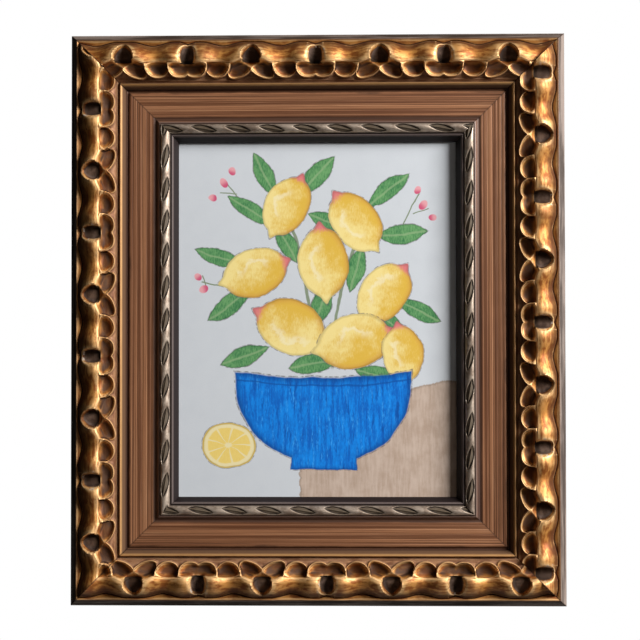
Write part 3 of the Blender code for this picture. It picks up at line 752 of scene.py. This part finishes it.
def painted_paper():
    """Watercolour over pencil: lemons on their branches standing out of a wide blue bowl."""
    finish = Finish("watercolour_paper", roughness=0.9, Specular_IOR_Level=0.2)
    low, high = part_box("painting_sheet")
    middle = ((low.x + high.x) / 2, 0.0, (low.z + high.z) / 2)
    flat = finish.node("TexCoord", output="Object")
    centred = {"Vector": flat, "Location": tuple(-1000 * v for v in middle), "Scale": (1000.0, 0.0, 1000.0)}
    sheet = finish.node("Mapping", {}, centred)
    unsteady = {"Vector": sheet, "Scale": 0.035, "Detail": 3.0}
    hand = finish.node("TexNoise", {}, unsteady, output=1)
    drawn = finish.node("VectorMath", {"operation": "MULTIPLY_ADD"}, {0: hand, 1: (7.0, 0.0, 7.0), 2: sheet})
    across, _, up = finish.parts(drawn)
    across, up = across - 3.5, up - 3.5
    blot = finish.noise(sheet, 0.06, 4.0, 0.6)
    brush = finish.noise(finish.stretch(sheet, (0.35, 1.0, 0.045)), 1.0, 3.0, 0.6)
    dry = finish.noise(finish.stretch(sheet, (0.9, 1.0, 0.25)), 1.0, 3.0, 0.6)
    tooth = finish.noise(sheet, 1.1, 3.0, 0.65)
    lead = finish.noise(sheet, 0.25, 2.0, 0.5)

    def local(shape):
        """A shape's own coordinates, 1 at its tip and at its widest."""
        x, z, half_length, half_width, turn = shape
        frame_of = {"Vector": drawn, "Location": (x + 3.5, 0.0, z + 3.5)}
        frame_of["Rotation"] = (0.0, math.radians(-turn), 0.0)
        frame_of["Scale"] = (half_length, 1.0, half_width)
        moved = finish.node("Mapping", {"vector_type": "TEXTURE"}, frame_of)
        along, _, off = finish.parts(moved)
        return along, finish.math("ABSOLUTE", off), off

    def wash(color, tint, inside, soft=0.05):
        """Lays a wash where inside is above 0, a little darker where it pooled at its edge."""
        covered = finish.step(inside, 0.0, soft)
        pooled = finish.step(inside, soft * 3.5, soft) * 0.35
        tint = finish.mix(tint, (0.25, 0.25, 0.25), pooled, "MULTIPLY")
        return finish.mix(color, tint, covered)

    def outline(color, inside, width):
        line = finish.step(finish.math("ABSOLUTE", inside), width, width * 0.3)
        return finish.mix(color, PENCIL, line * finish.step(lead, 0.35, 0.6) * 0.75)

    color = finish.mix(PAPER, (0.57, 0.61, 0.66), finish.step(blot, 0.35, 0.75) * 0.3)

    # A tan table, washed in loosely.
    edge = finish.step(across, -30.0, 134.0) * 52.0
    table = (-112.0 + edge) - up + (dry - 0.5) * 4.0
    table = finish.math("MINIMUM", table * 0.05, (across + 18.0) * 0.05 + (blot - 0.5))
    thin = finish.step(blot * 0.5 + brush * 0.5, 0.35, 0.65)
    tan = finish.mix((0.46, 0.345, 0.27), (0.60, 0.48, 0.40), thin)
    color = wash(color, tan, table)

    # Stems and sprigs.
    twig = 0.0
    for foot, bend, top in STEMS:
        rise = finish.most(up - BOWL_RIM, 0.0)
        off_stem = finish.math("ABSOLUTE", across - foot - rise * rise * bend)
        length = finish.step(up, top, top - 4.0) * finish.step(up, BOWL_RIM, BOWL_RIM + 4.0)
        twig = finish.most(twig, finish.step(off_stem, 1.9, 1.2) * length)
    for sprig in SPRIGS:
        along, off, _ = local(sprig)
        line = finish.step(finish.most(finish.math("ABSOLUTE", along), off), 1.0, 0.85)
        twig = finish.most(twig, line)
    color = finish.mix(color, finish.mix((0.13, 0.19, 0.10), (0.27, 0.33, 0.21), blot), twig * 0.9)

    # Leaves: a green wash with a paler middle vein.
    leaf, vein = -1.0, 0.0
    for shape in LEAVES_OF_TREE:
        along, off, _ = local(shape)
        inside = 1.0 - along * along - off
        middle_vein = finish.step(off, 0.16, 0.04) * finish.step(inside, 0.05, 0.2)
        leaf = finish.most(leaf, inside)
        vein = finish.most(vein, middle_vein)
    thin = finish.step(blot * 0.4 + dry * 0.6, 0.36, 0.62)
    green = finish.mix((0.045, 0.20, 0.075), (0.16, 0.38, 0.15), thin)
    green = finish.mix(green, (0.30, 0.46, 0.24), vein * 0.6)
    color = outline(wash(color, green, leaf, 0.06), leaf, 0.07)

    # Buds: pink, deeper at one side.
    for shape in BUDS:
        along, _, off = local(shape)
        inside = 1.0 - finish.math("SQRT", along * along + off * off)
        pink = finish.mix((0.62, 0.10, 0.20), (0.80, 0.38, 0.42), finish.step(along, -0.6, 0.5))
        color = finish.mix(color, pink, finish.step(inside, 0.0, 0.2))

    # Lemons: yellow to cream, a little pink at one tip, each lapping over the one before.
    for shape in LEMONS:
        along, off, side = local(shape)
        blunt = finish.math("SQRT", along * along + side * side)
        tip = finish.step(off, 0.30, 0.0) * finish.step(finish.math("ABSOLUTE", along), 1.6, 1.2)
        inside = 1.0 - blunt + tip * along * along * 0.13
        lit = finish.step(side * 0.45 - along * 0.25 + (dry - 0.5) * 0.9 + (blot - 0.5) * 1.6, -0.4, 0.4)
        yellow = finish.mix((0.76, 0.49, 0.07), (0.91, 0.75, 0.30), lit)
        pale = finish.step(finish.math("ABSOLUTE", blunt - 0.45 - (blot - 0.5)), 0.16, 0.0)
        pale = pale * finish.step(side, -0.1, 0.35)
        yellow = finish.mix(yellow, (0.93, 0.86, 0.60), pale * 0.6)
        shaded = finish.step(blunt, 0.72, 0.98) * finish.step(side, 0.0, -0.6)
        yellow = finish.mix(yellow, (0.62, 0.30, 0.07), shaded * 0.55)
        blush = finish.step(along + (dry - 0.5) * 0.3, 0.80, 1.0)
        yellow = finish.mix(yellow, (0.72, 0.16, 0.24), blush * 0.85)
        color = outline(wash(color, yellow, inside, 0.035), inside, 0.022)

    # The bowl: a streaky blue wash, with its foot and a darker band of shadow below its rim.
    off_middle = (across - BOWL_MIDDLE) / BOWL_REACH
    down = (BOWL_RIM - up) / BOWL_DEPTH
    wall = 1.0 - finish.math("SQRT", off_middle * off_middle + finish.most(down, 0.0) ** 2.6)
    rim_sag = 0.07 * (1.0 - off_middle * off_middle)
    bowl = finish.math("MINIMUM", wall, (down - rim_sag) * 0.9)
    foot = 1.0 - finish.math("ABSOLUTE", off_middle) * 2.7
    foot = finish.math("MINIMUM", foot, finish.math("MINIMUM", down - 0.86, 1.07 - down) * 2.0)
    bowl = finish.most(bowl, foot)
    streaks = finish.noise(finish.stretch(sheet, (0.30, 1.0, 0.04)), 1.0, 3.0, 0.6)
    thin = finish.step(streaks * 0.45 + dry * 0.3 + blot * 0.25, 0.40, 0.60)
    blue = finish.mix((0.003, 0.125, 0.55), (0.006, 0.26, 0.86), thin)
    lighter = finish.step(brush, 0.53, 0.66) * finish.step(dry, 0.4, 0.65)
    blue = finish.mix(blue, (0.06, 0.40, 0.92), lighter * 0.75)
    darker = finish.step(streaks, 0.46, 0.36) * finish.step(blot, 0.45, 0.6)
    blue = finish.mix(blue, (0.002, 0.07, 0.34), darker * 0.7)
    blue = finish.mix(blue, (0.002, 0.075, 0.38), finish.step(bowl, 0.14, 0.0) * 0.6)
    under_rim = finish.step(finish.math("ABSOLUTE", down - rim_sag - 0.10), 0.014, 0.004)
    blue = finish.mix(blue, (0.003, 0.08, 0.36), under_rim * finish.step(bowl, 0.0, 0.03) * 0.7)
    color = outline(wash(color, blue, bowl, 0.02), bowl, 0.010)

    # A cut slice: rind, pale pith and radiating segments.
    x = (across - SLICE_PLACE[0]) / SLICE_REACH
    z = (up - SLICE_PLACE[1]) / (SLICE_REACH * 0.82)
    radius = finish.math("SQRT", x * x + z * z)
    spoke = finish.math("ABSOLUTE", finish.math("SINE", finish.math("ARCTAN2", z, x) * 4.5))
    flesh = finish.step(spoke, 0.10, 0.30) * finish.step(radius, 0.80, 0.74)
    flesh = flesh * finish.step(radius, 0.07, 0.14)
    flesh_color = finish.mix((0.82, 0.58, 0.12), (0.9, 0.72, 0.25), dry)
    slice_color = finish.mix((0.86, 0.76, 0.44), flesh_color, flesh)
    slice_color = finish.mix(slice_color, (0.80, 0.56, 0.10), finish.step(radius, 0.90, 0.95))
    color = outline(wash(color, slice_color, 1.0 - radius, 0.04), 1.0 - radius, 0.022)

    # Pigment settles in the paper's tooth.
    settled = finish.mix(color, (0.80, 0.80, 0.80), 1.0, "MULTIPLY")
    color = finish.mix(color, settled, finish.step(tooth, 0.45, 0.8) * 0.35)
    normal = finish.bump(tooth, 0.2, 0.0003)
    return finish.feed(Base_Color=color, Normal=normal)


def dress(node, finish):
    """Gives a node of the frame a finish through its material slots."""
    for slot in frame["nodes"][node].material_slots:
        slot.material = finish


dress("painting_sheet", painted_paper())


# ---------------------------------------------------------------------------------------------
# The backing board. A sheet of brown hardboard, pressed from wood fibres and a little glazed, cut
# to drop into the rebate behind the picture.
def hardboard():
    """Pressed brown fibres, a little glazed and scuffed."""
    finish = Finish("hardboard", Specular_IOR_Level=0.35)
    place = finish.node("TexCoord", output="Object")
    fibres = finish.noise(place, 420.0, 4.0, 0.7)
    clouds = finish.noise(place, 14.0, 4.0, 0.6)
    threads = finish.noise(finish.stretch(place, (90.0, 90.0, 900.0)), 1.0, 3.0, 0.6)
    scuffs = finish.noise(finish.stretch(place, (260.0, 40.0, 18.0)), 1.0, 3.0, 0.6)
    color = finish.mix((0.105, 0.052, 0.024), (0.20, 0.108, 0.053), finish.step(fibres, 0.32, 0.68))
    color = finish.mix(color, (0.075, 0.036, 0.018), finish.step(clouds, 0.5, 0.72) * 0.6)
    color = finish.mix(color, (0.28, 0.17, 0.095), finish.step(threads, 0.60, 0.70) * 0.5)
    scuffed = finish.step(scuffs, 0.62, 0.70)
    color = finish.mix(color, (0.33, 0.24, 0.16), scuffed * 0.35)
    roughness = 0.5 + (fibres - 0.5) * 0.2 + scuffed * 0.2
    normal = finish.bump(fibres + threads * 0.5, 0.25, 0.0004)
    return finish.feed(Base_Color=color, Roughness=roughness, Normal=normal)


dress("backing_board", hardboard())


# ---------------------------------------------------------------------------------------------
# The framer's points. Small flat points of thin blued steel, pressed into the wood of the rebate
# so that they hold the board in.
def aged_steel(name, bright, dull, rust):
    """Steel with a dull film, fine scratches and a little rust."""
    finish = Finish(name)
    place = finish.node("TexCoord", output="Object")
    film = finish.noise(place, 180.0, 4.0, 0.6)
    scratches = finish.noise(finish.stretch(place, (3000.0, 300.0, 260.0)), 1.0, 3.0, 0.6)
    blooms = finish.noise(place, 330.0, 4.0, 0.7)
    rusted = finish.step(blooms, 1.0 - rust * 0.5, 1.1 - rust * 0.5)
    color = finish.mix(bright, dull, finish.step(film, 0.35, 0.65))
    color = finish.mix(color, (0.16, 0.055, 0.020), rusted)
    roughness = 0.32 + film * 0.2 + (scratches - 0.5) * 0.25 + rusted * 0.3
    normal = finish.bump(scratches * 0.4 + blooms * rusted, 0.3, 0.0003)
    return finish.feed(Base_Color=color, Metallic=1.0 - rusted * 0.9, Roughness=roughness, Normal=normal)


blued_steel = aged_steel("blued_steel", (0.20, 0.215, 0.24), (0.085, 0.09, 0.10), 0.85)
for node in frame["nodes"]:
    if node.startswith("framers_point"):
        dress(node, blued_steel)


# ---------------------------------------------------------------------------------------------
# The sawtooth hanger and its nails. A plate of thin steel stamped with teeth and brassed, worn to
# the steel in places, and nailed through its ends to the back of the top rail.
dress("sawtooth_hanger", aged_steel("brassed_steel", (0.62, 0.49, 0.27), (0.38, 0.32, 0.22), 0.72))
nail_steel = aged_steel("nail_steel", (0.55, 0.54, 0.52), (0.30, 0.29, 0.28), 0.8)
for node in ("hanger_nail_left", "hanger_nail_right"):
    dress(node, nail_steel)


# ---------------------------------------------------------------------------------------------
# The camera, the lights and the floor. Strong soft light from the right and above, with a weak
# one in front and two behind, against white.
scene = bpy.context.scene
scene.view_settings.view_transform = "Standard"

# The camera stands a little to the right of the frame's middle and below it, turned up and left
# by about a degree.
EYE_DISTANCE = 1.512
camera = bpy.data.objects.new("camera", bpy.data.cameras.new("camera"))
scene.collection.objects.link(camera)
camera.data.lens = 85.85
camera.data.sensor_width = 36.0
camera.data.clip_end = 20.0
camera.location = (frame_centre.x + 0.0345, back_y - EYE_DISTANCE, frame_centre.z - 0.0315)
camera.rotation_euler = (math.radians(90.0 + 1.17), math.radians(0.074), math.radians(1.218))
scene.camera = camera


def soft_light(name, place, size, power, color=(1.0, 1.0, 1.0)):
    """An area light aimed at the middle of the frame."""
    light = bpy.data.objects.new(name, bpy.data.lights.new(name, "AREA"))
    scene.collection.objects.link(light)
    light.data.shape = "RECTANGLE"
    light.data.size, light.data.size_y = size
    light.data.energy = power
    light.data.color = color
    light.location = place
    light.rotation_euler = (frame_centre - Vector(place)).to_track_quat("-Z", "Y").to_euler()


soft_light("key_light", (2.36, -1.42, 0.98), (1.3, 1.2), 180.0, (1.0, 0.98, 0.96))
soft_light("fill_light", (0.5, -2.5, 0.3), (1.2, 1.2), 3.0, (1.0, 0.86, 0.72))
soft_light("side_card", (1.7, 1.5, 0.0), (0.9, 0.9), 16.0)
soft_light("back_light", (0.1, 2.6, -0.1), (1.2, 1.2), 20.0)

world = bpy.data.worlds.new("studio")
scene.world = world
world.use_nodes = True
background = world.node_tree.nodes["Background"]
path = world.node_tree.nodes.new("ShaderNodeLightPath")
strength = world.node_tree.nodes.new("ShaderNodeMapRange")
strength.inputs["To Min"].default_value = 0.015
strength.inputs["To Max"].default_value = 1.0
world.node_tree.links.new(path.outputs["Is Camera Ray"], strength.inputs["Value"])
world.node_tree.links.new(strength.outputs[0], background.inputs["Strength"])
background.inputs["Color"].default_value = (1.0, 1.0, 1.0, 1.0)

floor_mesh = bpy.data.meshes.new("floor")
bm = bmesh.new()
bmesh.ops.create_circle(bm, cap_ends=True, segments=96, radius=1.1)
bmesh.ops.translate(bm, verts=bm.verts, vec=(0.0, 0.0, -2.4))
bm.to_mesh(floor_mesh)
bm.free()
pale = Finish("pale_floor", roughness=0.7)
floor_mesh.materials.append(pale.feed(Base_Color=(0.8, 0.8, 0.8)))
floor = bpy.data.objects.new("floor", floor_mesh)
scene.collection.objects.link(floor)
